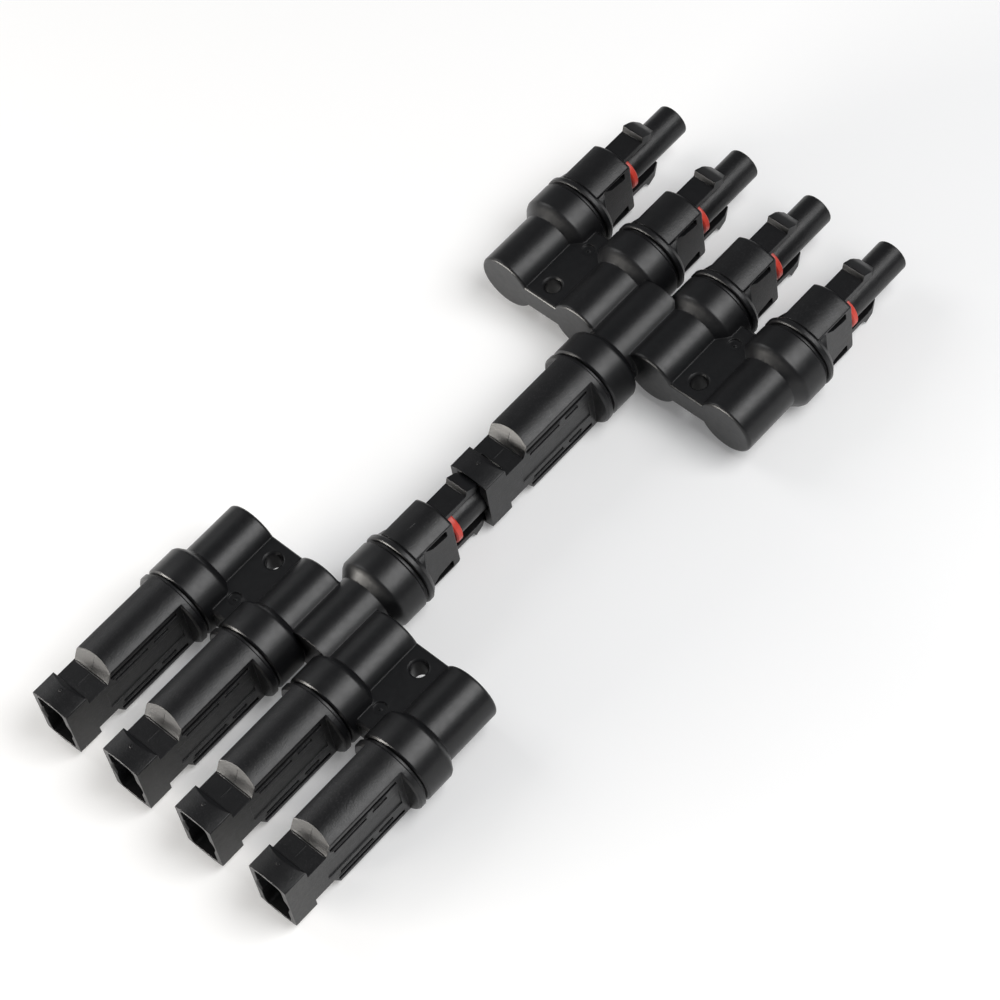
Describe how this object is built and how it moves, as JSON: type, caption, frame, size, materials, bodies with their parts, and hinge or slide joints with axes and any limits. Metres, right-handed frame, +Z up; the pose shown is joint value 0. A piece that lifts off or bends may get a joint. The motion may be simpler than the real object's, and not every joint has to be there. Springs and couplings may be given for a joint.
{
  "type": "solar cable branch connector pair",
  "caption": "Two overmoulded four-way branch connectors for solar cable, joined trunk to trunk, with pin and socket couplers, latch fingers and seal rings.",
  "frame": {"origin": "centre of the overall box: on the trunk line, midway along the joined pair, on the plane of the port axes", "axes": "+X along the row of ports, +Y along the trunk line towards the socket ports of branch A, +Z up through the flat webs"},
  "size_m": [0.0932, 0.2266, 0.0212],
  "materials": {
    "overmould": "satin black, soft sheen",
    "coupler_plastic": "satin black, lightly scuffed",
    "latch_plastic": "satin black",
    "seal_rubber": "smooth red-orange silicone",
    "contact_metal": "tin plated, bright",
    "busbar_copper": "plain copper"
  },
  "bodies": {
    "branch_a": {"a_body": "overmould", "a_busbar": "busbar_copper", "a_trunk_housing": "coupler_plastic", "a_trunk_pin": "contact_metal", "a_port1_housing": "coupler_plastic", "a_port1_socket": "contact_metal", "a_port1_seal": "seal_rubber", "a_port2_housing": "coupler_plastic", "a_port2_socket": "contact_metal", "a_port2_seal": "seal_rubber", "a_port3_housing": "coupler_plastic", "a_port3_socket": "contact_metal", "a_port3_seal": "seal_rubber", "a_port4_housing": "coupler_plastic", "a_port4_socket": "contact_metal", "a_port4_seal": "seal_rubber"},
    "branch_b": {"b_body": "overmould", "b_busbar": "busbar_copper", "b_port1_housing": "coupler_plastic", "b_port1_pin": "contact_metal", "b_port2_housing": "coupler_plastic", "b_port2_pin": "contact_metal", "b_port3_housing": "coupler_plastic", "b_port3_pin": "contact_metal", "b_port4_housing": "coupler_plastic", "b_port4_pin": "contact_metal", "b_trunk_housing": "coupler_plastic", "b_trunk_socket": "contact_metal", "b_trunk_seal": "seal_rubber"},
    "a_port1_latch_upper": {"a_port1_latch_upper": "latch_plastic"},
    "a_port1_latch_lower": {"a_port1_latch_lower": "latch_plastic"},
    "a_port2_latch_upper": {"a_port2_latch_upper": "latch_plastic"},
    "a_port2_latch_lower": {"a_port2_latch_lower": "latch_plastic"},
    "a_port3_latch_upper": {"a_port3_latch_upper": "latch_plastic"},
    "a_port3_latch_lower": {"a_port3_latch_lower": "latch_plastic"},
    "a_port4_latch_upper": {"a_port4_latch_upper": "latch_plastic"},
    "a_port4_latch_lower": {"a_port4_latch_lower": "latch_plastic"},
    "b_trunk_latch_upper": {"b_trunk_latch_upper": "latch_plastic"},
    "b_trunk_latch_lower": {"b_trunk_latch_lower": "latch_plastic"}
  },
  "joints": [
    {"name": "trunk_unplug", "type": "slide", "parent": "branch_a", "child": "branch_b", "axis": [0, -1, 0], "range_m": [0, 0.045]},
    {"name": "a_port1_latch_upper_flex", "type": "hinge", "parent": "branch_a", "child": "a_port1_latch_upper", "pos_m": [-0.036, 0.0878, 0.00765], "axis": [-1, 0, 0], "range_deg": [0, 5], "stiffness_Nm_per_rad": 0.5},
    {"name": "a_port1_latch_lower_flex", "type": "hinge", "parent": "branch_a", "child": "a_port1_latch_lower", "pos_m": [-0.036, 0.0878, -0.00765], "axis": [1, 0, 0], "range_deg": [0, 5], "stiffness_Nm_per_rad": 0.5},
    {"name": "a_port2_latch_upper_flex", "type": "hinge", "parent": "branch_a", "child": "a_port2_latch_upper", "pos_m": [-0.012, 0.0878, 0.00765], "axis": [-1, 0, 0], "range_deg": [0, 5], "stiffness_Nm_per_rad": 0.5},
    {"name": "a_port2_latch_lower_flex", "type": "hinge", "parent": "branch_a", "child": "a_port2_latch_lower", "pos_m": [-0.012, 0.0878, -0.00765], "axis": [1, 0, 0], "range_deg": [0, 5], "stiffness_Nm_per_rad": 0.5},
    {"name": "a_port3_latch_upper_flex", "type": "hinge", "parent": "branch_a", "child": "a_port3_latch_upper", "pos_m": [0.012, 0.0878, 0.00765], "axis": [-1, 0, 0], "range_deg": [0, 5], "stiffness_Nm_per_rad": 0.5},
    {"name": "a_port3_latch_lower_flex", "type": "hinge", "parent": "branch_a", "child": "a_port3_latch_lower", "pos_m": [0.012, 0.0878, -0.00765], "axis": [1, 0, 0], "range_deg": [0, 5], "stiffness_Nm_per_rad": 0.5},
    {"name": "a_port4_latch_upper_flex", "type": "hinge", "parent": "branch_a", "child": "a_port4_latch_upper", "pos_m": [0.036, 0.0878, 0.00765], "axis": [-1, 0, 0], "range_deg": [0, 5], "stiffness_Nm_per_rad": 0.5},
    {"name": "a_port4_latch_lower_flex", "type": "hinge", "parent": "branch_a", "child": "a_port4_latch_lower", "pos_m": [0.036, 0.0878, -0.00765], "axis": [1, 0, 0], "range_deg": [0, 5], "stiffness_Nm_per_rad": 0.5},
    {"name": "b_trunk_latch_upper_flex", "type": "hinge", "parent": "branch_b", "child": "b_trunk_latch_upper", "pos_m": [0, -0.0196, 0.00765], "axis": [-1, 0, 0], "range_deg": [0, 5], "stiffness_Nm_per_rad": 0.5},
    {"name": "b_trunk_latch_lower_flex", "type": "hinge", "parent": "branch_b", "child": "b_trunk_latch_lower", "pos_m": [0, -0.0196, -0.00765], "axis": [1, 0, 0], "range_deg": [0, 5], "stiffness_Nm_per_rad": 0.5}
  ]
}
